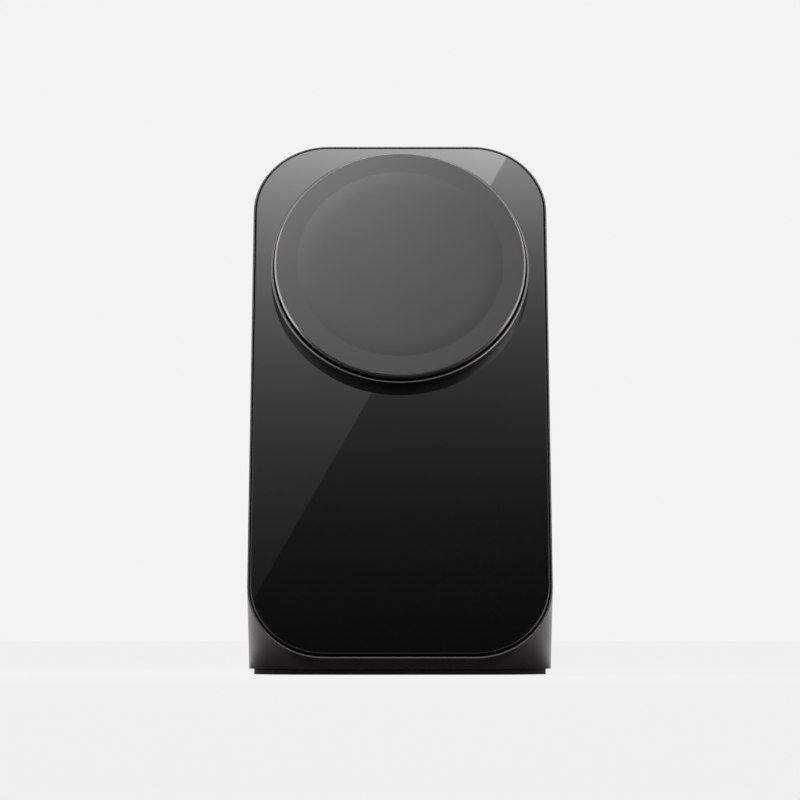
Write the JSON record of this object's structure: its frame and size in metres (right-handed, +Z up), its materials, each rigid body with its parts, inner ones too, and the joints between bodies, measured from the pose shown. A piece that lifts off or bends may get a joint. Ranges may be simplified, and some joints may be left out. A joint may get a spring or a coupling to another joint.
{
  "type": "wireless charging stand",
  "caption": "Leaning dark metal phone stand with a black glass front, a raised round magnetic charging pad, a deep base on a rubber foot and a rear power socket.",
  "frame": {"origin": "middle of the footprint, on the desk", "axes": "+X to the right seen from the front, +Y from the front to the back, +Z up"},
  "size_m": [0.065, 0.076, 0.1175],
  "materials": {
    "gunmetal": "fine bead-blasted dark grey anodised metal",
    "black_glass": "black-backed polished glass",
    "black_tape": "foam mounting tape",
    "soft_black": "matte soft-touch skin",
    "polished_dark": "polished dark anodised metal",
    "steel": "plated steel",
    "magnet": "nickel-plated",
    "copper": "bare drawn copper",
    "ferrite": "sintered ferrite",
    "board": "solder-masked glass-fibre board",
    "chip": "moulded epoxy",
    "nylon": "natural moulded nylon",
    "film": "amber polyimide film",
    "capacitor": "glazed ceramic and aluminium cans",
    "rubber": "fine-grained silicone rubber"
  },
  "bodies": {
    "root": {"housing": "gunmetal", "front_glass": "black_glass", "glass_tape": "black_tape", "pad_case": "gunmetal", "trim_ring": "polished_dark", "soft_pad": "soft_black", "pad_carrier": "chip", "charging_coil": "copper", "ferrite_plate": "ferrite", "shield_plate": "steel", "magnet_ring": "magnet", "pad_board": "board", "pad_chips": "chip", "pad_connector": "nylon", "pad_screws": "steel", "flex_cable": "film", "main_board": "board", "board_connector": "nylon", "inductors": "ferrite", "capacitors": "capacitor", "controller_chips": "chip", "usb_shell": "steel", "usb_tongue": "chip", "board_screws": "steel", "ballast_block": "steel", "ballast_screws": "steel", "base_plate": "steel", "plate_screws": "steel", "foot_pad": "rubber"}
  },
  "joints": []
}
